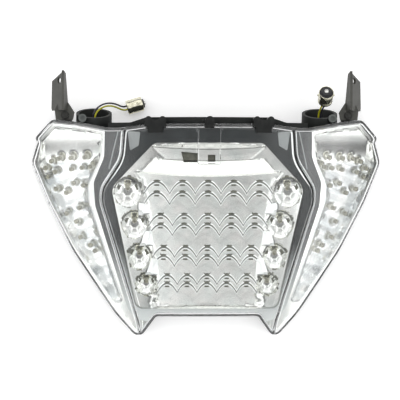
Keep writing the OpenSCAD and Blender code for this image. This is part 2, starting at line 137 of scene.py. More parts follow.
# The same skin as the chrome, over a lightly etched tool: a softer, greyer mirror that clouds in patches.
CLOUDED = finish("ABS, vacuum metallised over an etched tool", "#f0f0ee", "#d2d5d6", 3, 0.03, patch_mm=16,
                 Metallic=1.0, Roughness=0.22)

# ABS, satin lacquered: dark grey with a soft sheen that brightens where it turns to the light.
# Towards the tips the colour turns pale grey: a painted reflection, lighter where the lower legs catch the
# bright surroundings.
SATIN = finish("ABS, moulded and satin lacquered", "#2b2e2f", "#202324", 1.1, 0.03, stretch=(0.06, 1, 1),
               fade=("#c4c6c5", -40, -118), Roughness=0.42, **{"Specular IOR Level": 0.15})

# The same moulding under a pale lacquer, on the two corner panels; on the slim line beside each wing pocket
# it is a painted highlight.
PALE_AND_HIGHLIGHT = finish("ABS, pale lacquered and painted highlight", "#8b8e8e", "#7a7d7d", 1.1, 0.02, Roughness=0.4)

# Filled polypropylene, injection moulded: matt charcoal with a fine spark-eroded grain.
# The real grain of about 0.1 mm is drawn at 0.9 mm so that it shows.
HOUSING = finish("polypropylene, moulded with an eroded grain", "#262827", "#1e201f", 0.9, 0.05,
                 Roughness=0.55, **{"Specular IOR Level": 0.2})

# Acetal, injection moulded: near black, smoother and slightly shinier than the housing.
CLIP = finish("acetal, injection moulded", "#1c1e1d", "#151616", 0.7, 0.02, Roughness=0.38,
              **{"Specular IOR Level": 0.25})

# EPDM rubber, extruded and compression moulded: dull black, no sharp highlight.
RUBBER = finish("EPDM rubber, moulded", "#232525", "#1a1b1b", 0.8, 0.03, Roughness=0.75)

# Polypropylene boss in a lighter batch: mid grey and matt.
BOSS = finish("polypropylene, moulded mid grey", "#5e6260", "#505452", 0.8, 0.03, Roughness=0.5)

# Pressed mild steel, black electrophoretic coat: soft grey sheen with the rolled sheet's lines along it.
BRACKET = finish("mild steel, pressed and electro-coated", "#484843", "#3b3b37", 1.2, 0.02,
                 stretch=(1, 0.12, 1), Metallic=0.25, Roughness=0.42)

# Cold-headed steel, bright zinc plate: cool grey metal, slightly clouded.
ZINC = finish("steel, cold headed and zinc plated", "#c9cccd", "#a9acad", 1.0, 0.015, patch_mm=3,
              Metallic=1.0, Roughness=0.3)

# Cold-headed steel, blackened in hot oxide: dark with an oily gleam on its edges.
OXIDE = finish("steel, cold headed and black oxide", "#3b3b39", "#2e2e2c", 1.0, 0.015, patch_mm=3,
               Metallic=0.8, Roughness=0.35)

# Metallised ABS painted darker and duller: a painted dark reflection on the faces of the risers and on the
# bowl rims.
PAINTED_DARK_REFLECTION = finish("ABS, metallised with a painted dark reflection", "#6f706a", "#60615c", 2, 0.01, Metallic=0.4, Roughness=0.4)

# Soft white with no picture in it: a painted highlight on the risers' lips and feet, on the facets and on
# the bead along the lens ridge.
PAINTED_HIGHLIGHT = finish("ABS, metallised over a frosted face", "#ffffff", "#f7f7f5", 2, 0.01,
                 Metallic=0.15, Roughness=0.5)

# Olive grey and dull: a painted dark reflection of each lamp in the arches and bowls, and painted shade in
# the shelf's recesses.
PAINTED_DARK_MARKS = finish("ABS, painted dark reflection and shade", "#5a5a4c", "#48483d", 0.7, 0.02, patch_mm=3, Roughness=0.5)

# Soft PVC wire covering, extruded: even colour with a waxy gloss.
YELLOW = finish("PVC, extruded yellow", "#bdb921", "#aaa61b", 1.5, 0.01, Roughness=0.35)
BLACK = finish("PVC, extruded black", "#2f2c3b", "#262431", 1.5, 0.01, Roughness=0.35)

# Drawn brass, nickel plated: warm cream metal with a soft, slightly clouded mirror.
NICKEL = finish("brass, drawn and nickel plated", "#dcd9c6", "#cbc8b2", 1.0, 0.01, patch_mm=4,
                Metallic=1.0, Roughness=0.2)

# Phenolic resin, compression moulded: black with a dull shine.
PHENOLIC = finish("phenolic, compression moulded", "#232326", "#18181a", 0.7, 0.02, Roughness=0.45)

# Tin-lead solder, dipped: bright dimpled grey metal.
SOLDER = finish("solder, dipped", "#dcdcd8", "#bcbcb8", 1.2, 0.05, patch_mm=2, Metallic=1.0, Roughness=0.25)

# Glass-epoxy board with green solder mask, screen coated: glossy green over a faint cloth weave.
BOARD = finish("glass-epoxy board, screen coated green", "#2f6b3c", "#25582f", 0.5, 0.01, Roughness=0.3)

# Water-clear epoxy, cast in a mould: a glossy little lens, very slightly warm.
EPOXY = finish("epoxy, cast clear", "#fffef6", "#fbf8ea", 4, 0.005, clear=True,
               Roughness=0.03, IOR=1.53, **{"Transmission Weight": 1.0})

# Silver-plated steel lead frame, stamped: small grey metal cup and post inside the epoxy.
FRAME_METAL = finish("steel, stamped and silver plated", "#b4b2a6", "#95948a", 0.8, 0.01, patch_mm=2,
                     Metallic=1.0, Roughness=0.35)

# Resistor body, dipped in tan lacquer: soft satin with a slightly lumpy skin.
RESISTOR = finish("ceramic, dipped in tan lacquer", "#cbb78d", "#b9a47a", 1.0, 0.03, patch_mm=3,
                  Roughness=0.45)

# ---- outlines in plan, mm ---------------------------------------------------------------------
# Each row is x, y and the corner's radius; the right half runs from top to bottom.

LENS_HALF = [
    (58, 77.7, 30), (84, 74.5, 14), (100, 74.5, 20), (133, 81.2, 40), (156, 84, 8), (173.5, 66, 8),
    (171, 61, 2), (177.5, 41, 12), (161, 1, 90), (136, -47, 160), (93, -111, 120), (68.7, -138, 8),
    (51.5, -114, 4)]
PANEL_HALF = [(84.5, 87.7, 1), (88, 44, 30), (107, 15, 22), (107, 0, 22), (70.7, -121, 60), (66.7, -148, 1)]
WINDOW_HALF = [(54, 59.5, 9), (98, 14, 16), (95, 0, 20), (72, -106, 9)]
WING_POCKET = [
    (104.5, 69.5, 3), (133, 75.5, 30), (152.5, 77.5, 6), (167, 63, 6), (171, 41, 10), (155, 1, 70),
    (130.5, -47, 120), (94, -100, 4), (84, -100, 4), (118.5, 2, 16), (119, 19, 16), (107, 44, 22)]


def mirrored(half):
    """The whole outline from its right half."""
    return half + [(-x, y, r) for x, y, r in reversed(half)]


def inset(points, d):
    """The outline moved inwards by d, or outwards if d is negative. Its corners run clockwise."""
    moved = []
    for i, (x, y, r) in enumerate(points):
        p = Vector((x, y))
        a = (p - Vector(points[i - 1][:2])).normalized()
        b = (Vector(points[(i + 1) % len(points)][:2]) - p).normalized()
        na, nb = Vector((a.y, -a.x)), Vector((b.y, -b.x))
        q = p + (na + nb) * d / (1 + na.dot(nb))
        turn = a.x * b.y - a.y * b.x
        moved.append((q.x, q.y, max(0.5, r + (d if turn > 0 else -d))))
    return moved


def rounded(points, spacing=3.0):
    """The outline as an even loop of points, each corner rounded as far as its two sides allow."""
    loop = []
    for i, (x, y, radius) in enumerate(points):
        p = Vector((x, y))
        behind, ahead = Vector(points[i - 1][:2]) - p, Vector(points[(i + 1) % len(points)][:2]) - p
        u, v = behind.normalized(), ahead.normalized()
        half = math.acos(max(-1, min(1, u.dot(v)))) / 2
        run = min(radius / math.tan(half), 0.49 * behind.length, 0.49 * ahead.length)
        r = run * math.tan(half)
        sweep = math.pi - 2 * half
        steps = max(1, math.ceil(sweep / math.radians(9)), math.ceil(sweep * r / spacing))
        centre = p + (u + v).normalized() * r / math.sin(half)
        for k in range(steps + 1):
            t = k / steps
            loop.append(centre + ((p + u * run - centre) * math.sin((1 - t) * sweep)
                                  + (p + v * run - centre) * math.sin(t * sweep)) / math.sin(sweep))
    even = []
    for a, b in zip(loop, loop[1:] + loop[:1]):
        parts = max(1, math.ceil((b - a).length / spacing))
        if (b - a).length > 1e-4:
            even += [a.lerp(b, k / parts) for k in range(parts)]
    return even


def depth_inside(points, loop):
    """How far inside the loop each point lies, negative outside it."""
    every, a = np.asarray(points, float), np.array([tuple(q) for q in loop])
    edge = np.roll(a, -1, 0) - a
    length = (edge ** 2).sum(1)
    rise = np.where(np.abs(edge[:, 1]) < 1e-12, 1e-12, edge[:, 1])
    depth = np.empty(len(every))
    for first in range(0, len(every), 400):
        part = every[first:first + 400]
        dx, dy = part[:, 0, None] - a[:, 0], part[:, 1, None] - a[:, 1]
        along = np.clip((dx * edge[:, 0] + dy * edge[:, 1]) / length, 0, 1)
        away = ((dx - along * edge[:, 0]) ** 2 + (dy - along * edge[:, 1]) ** 2).min(1)
        crossed = ((dy < 0) != (dy < edge[:, 1])) & (dx < edge[:, 0] * dy / rise)
        depth[first:first + 400] = np.where(crossed.sum(1) % 2 == 1, 1, -1) * np.sqrt(away)
    return depth


def smooth(t):
    """0 below 0, 1 above 1 and an S-curve between."""
    t = np.clip(t, 0, 1)
    return t * t * (3 - 2 * t)


# ---- mesh making ------------------------------------------------------------------------------


def plan_mesh(loop, holes=(), lines=(), closed_lines=(), spacing=3.0):
    """Triangles over the inside of a loop less its holes. lines are kept as edges, with a grid between."""
    loops = [list(loop), *[list(h) for h in holes]]
    points, edges = [], []
    for path, closed in [(q, True) for q in [*loops, *closed_lines]] + [(q, False) for q in lines]:
        first, count = len(points), len(path)
        points += [(p[0], p[1]) for p in path]
        edges += [(first + k, first + k + 1) for k in range(count - 1)]
        if closed:
            edges.append((first + count - 1, first))
    kept = np.array(points)
    low, high = kept.min(0), kept.max(0)
    rows = np.arange(low[1], high[1], spacing * 0.866)
    grid = np.array([(x + (k % 2) * spacing / 2, y) for k, y in enumerate(rows)
                     for x in np.arange(low[0], high[0], spacing)])
    grid = grid[depth_inside(grid, loops[0]) > spacing * 0.4]
    for hole in loops[1:]:
        grid = grid[depth_inside(grid, hole) < -spacing * 0.4]
    near = np.empty(len(grid))
    for first in range(0, len(grid), 200):
        part = grid[first:first + 200]
        gaps = (part[:, 0, None] - kept[:, 0]) ** 2 + (part[:, 1, None] - kept[:, 1]) ** 2
        near[first:first + 200] = gaps.min(1)
    grid = grid[near > (spacing * 0.45) ** 2]
    every = [Vector(p) for p in points] + [Vector(p) for p in grid]
    made, _, faces, *_ = delaunay_2d_cdt(every, edges, [], 0, 1e-4)
    made = np.array([tuple(p) for p in made])
    faces = np.array([f[:3] for f in faces])
    middle = made[faces].mean(1)
    keep = depth_inside(middle, loops[0]) > 0
    for hole in loops[1:]:
        keep &= depth_inside(middle, hole) < 0
    return made, faces[keep]


def rim_edges(faces):
    """The edges that only one triangle has, in that triangle's direction."""
    directed = {(f[k], f[(k + 1) % 3]) for f in faces.tolist() for k in range(3)}
    return [(a, b) for a, b in directed if (b, a) not in directed]


def shell(plan, top, bottom):
    """A closed shell over a plan mesh, between two heights given for each of its points."""
    xy, faces = plan
    count = len(xy)
    points = np.vstack([np.column_stack([xy, top]), np.column_stack([xy, bottom])])
    sides = [(a, a + count, b + count, b) for a, b in rim_edges(faces)]
    return points.tolist(), faces.tolist() + (faces[:, ::-1] + count).tolist() + sides


def revolved(profile, steps=32):
    """A solid of revolution about Z from (radius, height) pairs, capped at each end that has a radius."""
    rings, points, faces = [], [], []
    for radius, height in profile:
        first = len(points)
        count = steps if radius > 1e-6 else 1
        turns = [2 * math.pi * k / steps for k in range(count)]
        points += [(radius * math.cos(a), radius * math.sin(a), height) for a in turns]
        rings.append((first, count))
    for (a, na), (b, nb) in zip(rings, rings[1:]):
        for k in range(steps):
            m = (k + 1) % steps
            corners = [a + (k if na > 1 else 0), a + (m if na > 1 else 0),
                       b + (m if nb > 1 else 0), b + (k if nb > 1 else 0)]
            faces.append(tuple(dict.fromkeys(corners)))
    for first, count in (rings[0], rings[-1]):
        if count > 1:
            faces.append(tuple(range(first, first + count)))
    return points, faces


def placed(shape, matrix):
    """The shape moved by a matrix."""
    points, faces = shape
    return [tuple(matrix @ Vector(p)) for p in points], faces


def joined(shapes):
    """Several shapes as one."""
    points, faces = [], []
    for more, sides in shapes:
        first = len(points)
        points += more
        faces += [tuple(i + first for i in f) for f in sides]
    return points, faces


def piece(name, shape, material, nodes, smooth_to=35, weld=0.001, parts=()):
    """Makes a mesh piece in metres that stands for CAD nodes, smooth across edges under smooth_to degrees.

    parts are (material, test) pairs: the faces whose middles, in plan and mm, pass the test get it."""
    points, faces = shape
    mesh = bpy.data.meshes.new(name)
    mesh.from_pydata([(x * MM, y * MM, z * MM) for x, y, z in points], [], faces)
    work = bmesh.new()
    work.from_mesh(mesh)
    bmesh.ops.remove_doubles(work, verts=work.verts, dist=weld * MM)
    bmesh.ops.dissolve_degenerate(work, edges=work.edges, dist=weld * MM)
    bmesh.ops.recalc_face_normals(work, faces=work.faces)
    work.to_mesh(mesh)
    work.free()
    mesh.polygons.foreach_set("use_smooth", [True] * len(mesh.polygons))
    mesh.set_sharp_from_angle(angle=math.radians(smooth_to))
    mesh.materials.append(material)
    if parts:
        middles = np.zeros(3 * len(mesh.polygons))
        mesh.polygons.foreach_get("center", middles)
        chosen = np.zeros(len(mesh.polygons), np.int32)
        for k, (other, test) in enumerate(parts):
            mesh.materials.append(other)
            chosen[test(middles.reshape(-1, 3)[:, :2] / MM)] = k + 1
        mesh.polygons.foreach_set("material_index", chosen)
    made = bpy.data.objects.new(name, mesh)
    bpy.context.scene.collection.objects.link(made)
    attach(made, "root")
    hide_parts(*nodes)
    return made


def coated(nodes, material, bevel=0.35):
    """Gives CAD nodes a material, and softens their edges by bevel mm."""
    for name in nodes:
        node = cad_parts[name]
        node.data.materials.clear()
        node.data.materials.append(material)
        if bevel:
            weld = node.modifiers.new("weld", "WELD")
            weld.merge_threshold = 0.002 * MM
            edge = node.modifiers.new("edges", "BEVEL")
            edge.width, edge.segments = bevel * MM, 2
            edge.limit_method, edge.angle_limit = "ANGLE", math.radians(40)
            edge.harden_normals = True


# ---- leads ------------------------------------------------------------------------------------

WIRE_R = 0.9
LEADS = {
    "left_yellow_wire": (YELLOW, "wire_yellow", 0.0529, [
        (-113, 83, 32), (-113, 86.5, 33.2), (-112.2, 89.8, 33.6), (-110.4, 92.8, 32.8), (-107.8, 95.2, 31),
        (-104.8, 97, 28.4), (-101.6, 98.2, 25.4), (-98.4, 98.7, 22), (-95.2, 98.6, 18.4), (-92, 97.9, 14.8),
        (-89, 96.9, 11.4), (-86, 95.8, 8.8), (-82.6, 95.3, 7.5), (-80.2, 96, 7.5)]),
    "left_black_wire": (BLACK, "wire_black", 0.0559, [
        (-115, 83, 32), (-115, 86.5, 33.2), (-114.4, 90, 34.2), (-112.8, 93.4, 34), (-110.2, 96.4, 32.6),
        (-107, 98.8, 30.2), (-103.6, 100.4, 27.2), (-100, 101.3, 23.6), (-96.4, 101.5, 19.8),
        (-92.8, 101.1, 16), (-89.6, 100.2, 12.4), (-86.8, 99.2, 9.4), (-83.6, 98.7, 7.5),
        (-81.2, 99.4, 7.5)]),
    "right_yellow_wire": (YELLOW, "wire_yellow", 0.0308, [
        (113, 83, 32), (113, 86.5, 33.2), (113.2, 90, 34.7), (113.8, 93, 36.9), (114.6, 95.6, 39.6),
        (115.4, 97.8, 42.8), (116, 99.4, 46.2), (116.3, 100.6, 49.6), (116.4, 101.6, 52),
        (116.4, 102.4, 53.5)]),
    "right_black_wire": (BLACK, "wire_black", 0.0309, [
        (115, 83, 32), (115, 86.5, 33.2), (115.2, 90, 34.7), (115.8, 93, 36.9), (116.8, 95.6, 39.6),
        (117.8, 97.8, 42.8), (118.4, 99.4, 46.2), (118.7, 100.6, 49.6), (118.8, 101.6, 52),
        (118.8, 102.4, 53.5)]),
}


def flowing(route, parts=4):
    """A smooth curve through the route's points."""
    line = []
    for k in range(len(route) - 1):
        p = [Vector(route[min(max(k + j, 0), len(route) - 1)]) for j in (-1, 0, 1, 2)]
        for m in range(parts):
            t = m / parts
            line.append(0.5 * (2 * p[1] + (p[2] - p[0]) * t + (2 * p[0] - 5 * p[1] + 4 * p[2] - p[3]) * t * t
                               + (3 * p[1] - p[0] - 3 * p[2] + p[3]) * t ** 3))
    return line + [Vector(route[-1])]


def wire(name, material, route):
    """One insulated wire along its route."""
    curve = bpy.data.curves.new(name, "CURVE")
    curve.dimensions = "3D"
    curve.bevel_depth, curve.bevel_resolution, curve.use_fill_caps = WIRE_R * MM, 4, True
    line = flowing(route)
    spline = curve.splines.new("POLY")
    spline.points.add(len(line) - 1)
    for point, p in zip(spline.points, line):
        point.co = (*(p * MM), 1)
    spline.use_smooth = True
    curve.materials.append(material)
    made = bpy.data.objects.new(name + "_insulation", curve)
    bpy.context.scene.collection.objects.link(made)
    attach(made, "root")
    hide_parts(name)


# ---- plugs ------------------------------------------------------------------------------------

PLUG_R, PLUG_L, PLUG_WALL = 7.5, 16.7, 0.8
PIN_BACK = 5.5         # from the mouth of the shell back to its two pins
# Profiles about the plug's axis: radius, and height from the back of the shell.
SHELL_PROFILE = [
    (PLUG_R - 1.6, 0), (PLUG_R - 0.5, 0.25), (PLUG_R, 0.9), (PLUG_R, 4.2), (PLUG_R - 0.35, 4.8),
    (PLUG_R - 0.35, 5.6), (PLUG_R, 6.2), (PLUG_R, PLUG_L - 1), (PLUG_R - 0.25, PLUG_L - 0.2),
    (PLUG_R - 0.5, PLUG_L), (PLUG_R - PLUG_WALL, PLUG_L - 0.2), (PLUG_R - PLUG_WALL, PLUG_L - 2.2),
    (PLUG_R - PLUG_WALL - 0.4, 2), (0, 2)]
NOSE_PROFILE = [
    (PLUG_R - PLUG_WALL - 0.05, PLUG_L - 3), (PLUG_R - PLUG_WALL - 0.05, PLUG_L - 1.2),
    (PLUG_R - PLUG_WALL - 0.5, PLUG_L - 0.8), (4.9, PLUG_L - 0.7), (4.6, PLUG_L - 0.4),
    (4.6, PLUG_L + 1.2), (4.1, PLUG_L + 1.7), (3, PLUG_L + 1.75)]
CONTACT_PROFILE = [
    (2.4, PLUG_L + 1.5), (2.4, PLUG_L + 2.0), (2.2, PLUG_L + 2.6), (1.5, PLUG_L + 3.0), (0, PLUG_L + 3.15)]
PIN_PROFILE = [(1, 0), (1, PLUG_R + 0.9), (0.7, PLUG_R + 1.2), (0, PLUG_R + 1.2)]


def plug(side, origin, axis):
    """Bayonet plug: plated shell with two pins, insulating nose and soldered contact."""
    turn = Vector((0, 0, 1)).rotation_difference(Vector(axis)).to_matrix().to_4x4()
    at = Matrix.Translation(origin) @ turn
    raised = Matrix.Translation((0, 0, PLUG_L - PIN_BACK))
    pins = [placed(revolved(PIN_PROFILE, 16), raised @ Matrix.Rotation(s * math.pi / 2, 4, "Y"))
            for s in (-1, 1)]
    shell_shape = joined([revolved(SHELL_PROFILE, 48), *pins])
    return [
        piece(side + "_plug_barrel", placed(shell_shape, at), NICKEL, [side + "_plug_shell"]),
        piece(side + "_plug_nose", placed(revolved(NOSE_PROFILE, 40), at), PHENOLIC,
              [side + "_plug_insulator"]),
        piece(side + "_plug_solder", placed(revolved(CONTACT_PROFILE, 24), at), SOLDER,
              [side + "_plug_contact"])]


plug_pieces = {
    "left": plug("left", (-80.6, 97.4, 7.5), (0.96, 0.28, 0)),
    "right": plug("right", (117.6, 102.4, 53.5), (0, 8 / 17, 15 / 17))}
for lead, (material, slot_name, length, route) in LEADS.items():
    wire(lead, material, route)

# ---- reference surfaces -----------------------------------------------------------------------

FACE_Y, FACE_Z, TILT = 77.7, 92, math.radians(15)     # top edge of the front plane, and its slope
CROWN_R, PANEL_R, PANEL_STEP = 300, 400, 2     # crown of the lens, and of its raised panel 2 mm higher
LENS_WALL, LENS_DEPTH = 2.5, 14
BOARD_DEPTH, WING_DEPTH = 30, 16     # how far the circuit boards lie under the front: centre and wings
WING_TURN = math.radians(27.5)       # how far the wings' boards are turned about the axis of the lens crown


def crown(x, radius=CROWN_R):
    """Height of a crown over the front plane, zero at the middle."""
    return np.sqrt(radius ** 2 - np.asarray(x) ** 2) - radius


def world_z(xy, w):
    """World height of points that stand w above the sloping front plane."""
    return FACE_Z + (xy[:, 1] - FACE_Y) * math.tan(TILT) + w / math.cos(TILT)


# ---- lens -------------------------------------------------------------------------------------

lens_outline = mirrored(LENS_HALF)
panel_outline = mirrored(PANEL_HALF)
EDGE_R = 2.0           # rounding of the lens edge
RIDGE_RUN = 2.6        # width of the sloping wall round the raised panel
# The raised strip up the middle: half its width, the run of its walls, its lower end and its height.
STRIP_X, STRIP_RUN, STRIP_END, STRIP_UP = 11.5, 1.0, 38, 1.0


def lens_height(xy, rim, panel, d):
    """World height of the lens skin lying d below the front; rim and panel are loops."""
    inside = depth_inside(xy, panel)
    raised = smooth(inside / RIDGE_RUN + 0.5)
    w = crown(xy[:, 0]) * (1 - raised) + (PANEL_STEP + crown(xy[:, 0], PANEL_R)) * raised - d
    on_strip = smooth((STRIP_X - np.abs(xy[:, 0])) / STRIP_RUN) * smooth((xy[:, 1] - STRIP_END) / STRIP_RUN)
    w += STRIP_UP * on_strip
    reach = np.clip(EDGE_R - depth_inside(xy, rim), 0, EDGE_R)
    w -= EDGE_R - np.sqrt(EDGE_R ** 2 - reach ** 2)
    return world_z(xy, w)


def offsets(outline, distances, spacing=2.5):
    """The rounded outline at several distances inwards."""
    return [rounded(inset(outline, d), spacing) for d in distances]


def runs_of(line, kept):
    """The stretches of a line whose points are kept."""
    runs, run = [], []
    for p, keep in zip(line, kept):
        if keep:
            run.append(p)
        elif run:
            runs.append(run)
            run = []
    return [r for r in [*runs, run] if len(r) > 2]


def inner_part(loop, edge):
    """The stretches of a closed loop that lie inside another."""
    line = loop + loop[:1]
    return runs_of(line, depth_inside([tuple(p) for p in line], edge) > 0.2)


def outer_part(line, edge):
    """The stretches of an open line that lie outside a loop."""
    return runs_of(line, depth_inside([tuple(p) for p in line], edge) < -0.2)


def lens_skin(d):
    """One skin of the lens: its plan mesh, heights and rim loop."""
    rim = rounded(inset(lens_outline, d), 2.5)
    panel = rounded(inset(panel_outline, d), 2.5)
    ridges = offsets(panel_outline, [d + k * RIDGE_RUN / 2 for k in (-1, -0.5, 0, 0.5, 1)])
    trimmed = [part for loop in ridges for part in inner_part(loop, rim)]
    strip = [[(s * (STRIP_X - k), y) for y in np.linspace(FACE_Y - d - 1, STRIP_END, 16)]
             for s in (-1, 1) for k in (0, STRIP_RUN)]
    strip += [[(x, STRIP_END + k) for x in np.linspace(-STRIP_X, STRIP_X, 12)] for k in (0, STRIP_RUN)]
    edges = offsets(lens_outline, [d + 0.15, d + 0.6, d + 1.3, d + EDGE_R])
    plan = plan_mesh(rim, lines=trimmed + strip, closed_lines=edges, spacing=3.2)
    return plan, lens_height(plan[0], rim, panel, d), rim


def rim_height(xy):
    """World height of the lens rim."""
    return world_z(xy, crown(xy[:, 0]) - LENS_DEPTH)


def wall(loop, top, low):
    """An upright wall on a loop between two heights."""
    count = len(loop)
    points = [(p[0], p[1], z) for z_row in (top, low) for p, z in zip(loop, z_row)]
    return points, [(k, (k + 1) % count, (k + 1) % count + count, k + count) for k in range(count)]


def loop_heights(plan, heights, loop):
    """The skin's own heights at the points of its rim loop."""
    gaps = np.linalg.norm(plan[0][None] - np.array([tuple(p) for p in loop])[:, None], axis=2)
    return heights[gaps.argmin(1)]


outer, outer_z, outer_rim = lens_skin(0)
inner, inner_z, inner_rim = lens_skin(LENS_WALL)
rim_plan = plan_mesh(outer_rim, holes=[inner_rim], spacing=2.5)
lens_parts = [
    (np.column_stack([outer[0], outer_z]).tolist(), outer[1].tolist()),
    (np.column_stack([inner[0], inner_z]).tolist(), inner[1][:, ::-1].tolist()),
    (np.column_stack([rim_plan[0], rim_height(rim_plan[0])]).tolist(), rim_plan[1][:, ::-1].tolist())]
for plan, heights, loop in ((outer, outer_z, outer_rim), (inner, inner_z, inner_rim)):
    flat = np.array([tuple(p) for p in loop])
    lens_parts.append(wall(flat.tolist(), loop_heights(plan, heights, loop), rim_height(flat)))
piece("lens_moulding", joined(lens_parts), LENS, ["lens"], weld=0.02)

# ---- bezel ------------------------------------------------------------------------------------

BEZEL_TOP, BEZEL_T = 4, 2      # depth of the bezel under the front, and its thickness
BEZEL_GAP = 1                  # clearance inside the lens wall
LIP_UP, LIP_RUN = 0.8, 2.4     # raised lip round the window
POCKET_GAP = 0.3               # clearance round the wing reflectors
window_outline = mirrored(WINDOW_HALF)
window = rounded(window_outline, 2.5)
pocket = rounded(inset(WING_POCKET, -POCKET_GAP), 2.5)
other_pocket = [Vector((-p.x, p.y)) for p in reversed(pocket)]
bezel_edge = rounded(inset(lens_outline, LENS_WALL + BEZEL_GAP), 3)
panel_loop = rounded(panel_outline, 2.5)

# The dark band of the bezel, between the wing pockets; the rest of it is metallised.
DARK_HALF = [(102.5, 90, 1), (103.5, 46, 20), (114, 21, 14), (112.5, -2, 16), (76, -118, 30), (40, -121, 1)]
dark_loop = rounded(mirrored(DARK_HALF), 2.5)
# A slim painted highlight down the dark band beside each wing pocket, where the lens ridge glints, as a loop
# in plan on the right half.
RIDGE_GLINT = [(89.2, 71), (90.4, 71), (99.4, 34), (98.2, 34)]

# The bead's white is a painted highlight, where the lens ridge glints.
BEAD_UP = 0.9          # height of the bright bead along the inside of the ridge
# The bead's middle inside the ridge and half its width, at its foot and at its top.
BEAD_FOOT, BEAD_TOP = (1.2, 0.9), (2.7, 1.9)
BEAD_FROM, BEAD_RUN = 5, 30    # where in plan it starts to widen, and over what height


def bead(y):
    """The bead's middle inside the ridge and half its width, at height y in plan."""
    grown = smooth((np.asarray(y) - BEAD_FROM) / BEAD_RUN)
    return [foot + (top - foot) * grown for foot, top in zip(BEAD_FOOT, BEAD_TOP)]


def bead_line(side):
    """A loop along the bead: its outer edge at side -1, its middle at 0 and its inner edge at 1."""
    line = []
    for k, p in enumerate(panel_loop):
        along = (panel_loop[(k + 1) % len(panel_loop)] - panel_loop[k - 1]).normalized()
        middle, half = bead(p.y)
        line.append(p + Vector((along.y, -along.x)) * float(middle + side * half))
    return line


bezel_loops = [bead_line(side) for side in (-1, 0, 1)] + [dark_loop]
bezel_lines = [part for loop in bezel_loops for part in inner_part(loop, bezel_edge)]
bezel_lines = [part for line in bezel_lines for part in outer_part(line, window)]
ridge_glint_loops = [[Vector((s * x, y)) for x, y in RIDGE_GLINT] for s in (1, -1)]
bezel_plan = plan_mesh(bezel_edge, holes=[window, pocket, other_pocket], spacing=3.2, lines=bezel_lines,
                       closed_lines=offsets(window_outline, [-LIP_RUN / 2, -LIP_RUN]) + ridge_glint_loops)
lip = smooth(1 + depth_inside(bezel_plan[0], window) / LIP_RUN)
bezel_w = crown(bezel_plan[0][:, 0]) - BEZEL_TOP + LIP_UP * lip
from_ridge = depth_inside(bezel_plan[0], panel_loop)
bead_middle, bead_half = bead(bezel_plan[0][:, 1])
bezel_w += BEAD_UP * np.clip(1 - np.abs(from_ridge - bead_middle) / bead_half, 0, 1)


def border_part(xy):
    """Where the bezel is metallised: outside its dark band."""
    return depth_inside(xy, dark_loop) < 0


def bead_part(xy):
    """The bead along the ridge, white as a painted highlight."""
    middle, half = bead(xy[:, 1])
    return np.abs(depth_inside(xy, panel_loop) - middle) < half


def ridge_glint_part(xy):
    """The painted highlight beside each wing pocket."""
    return depth_inside(np.column_stack([np.abs(xy[:, 0]), xy[:, 1]]), RIDGE_GLINT) > 0


piece("bezel_moulding",
      shell(bezel_plan, world_z(bezel_plan[0], bezel_w), world_z(bezel_plan[0], bezel_w - BEZEL_T)),
      SATIN, ["bezel"],
      parts=[(CHROME, border_part), (PAINTED_HIGHLIGHT, bead_part), (PALE_AND_HIGHLIGHT, ridge_glint_part)])

PAD = [(68, 70), (80.5, 71.5), (78, 52), (69.5, 57)]     # corner panel, in plan
PAD_UP, PAD_SUNK = 0.9, 0.5    # how far it stands out of the bezel, and how far it is sunk in
for s, side in ((1, "right"), (-1, "left")):
    corners = [Vector((s * x, y)) for x, y in (PAD if s > 0 else PAD[::-1])]
    pad_plan = plan_mesh(rounded([(p.x, p.y, 1) for p in corners], 2), spacing=2)
    pad_w = crown(pad_plan[0][:, 0]) - BEZEL_TOP
    piece(side + "_corner_panel",
          shell(pad_plan, world_z(pad_plan[0], pad_w + PAD_UP), world_z(pad_plan[0], pad_w - PAD_SUNK)),
          PALE_AND_HIGHLIGHT, ["bezel"])

# ---- centre reflector -------------------------------------------------------------------------

LED_R, FLANGE_R = 2.5, 2.9
TRAY_T = 0.8           # wall of the reflector trays
# Each row of centre lamps: height down the board, spacing of its five middle lamps, place of its
# end lamps, radius of the bowl round each end lamp.
CENTRE_ROWS = [(-67, 25.6, 80, 13.5), (-101, 23.6, 73, 12.5), (-134.5, 22, 68, 11.5), (-164, 20, 61, 10)]
HALF_ROW = 2.5         # half a row of five lamps, in lamp spacings
END_LAMP_DOWN = 4      # how far the end lamps lie below their row
centre_lamps = [(k * pitch, v) for v, pitch, _, _ in CENTRE_ROWS for k in (-2, -1, 0, 1, 2)]
centre_lamps += [(s * end, v - END_LAMP_DOWN) for v, _, end, _ in CENTRE_ROWS for s in (-1, 1)]

LAMP_UP = 4.3          # from a lamp up to the top of its scallop, in plan
SCALLOP = 0.46         # depth of a scallop over its width
SECOND_RISER = 0.41    # how far down the second riser lies, over the lamp spacing
ARCH_W, BOWL_W = -24, -26    # heights over the front plane at which arches and bowls are set on their lamps
# Profile of a riser: how far it has run and dropped. Its lip and its foot carry a painted highlight, its
# face a painted dark reflection.
RISER = [(0, 0), (1.4, 0.6), (3.1, 1.9), (3.7, 3.4), (4.3, 4.2)]
PLAIN_RUN = 4          # beside the scallops a riser is plain, and its run is this many times longer
# The two painted dark reflections in the middle of each arch: half width, and where each starts and ends
# below the arch.
ARCH_MARKS = [(3.0, -0.1, 1.6), (2.4, 4.6, 6.2)]
TREAD_SLOPE = math.tan(TILT)
TREAD_CROWN, TREAD_HALF = 1.5, 60    # how far a tread curves up, and over what half width
TRAY_LOW = 0.6         # the least height of the tray over its board
TRAY_FLANGE, TRAY_WALL = 0.8, 5      # flat rim of the tray, and the slope of its walls

BOWL_BASE, BOWL_DEEP = 1.5, 4.6    # height of a bowl's bottom over the board, and its depth
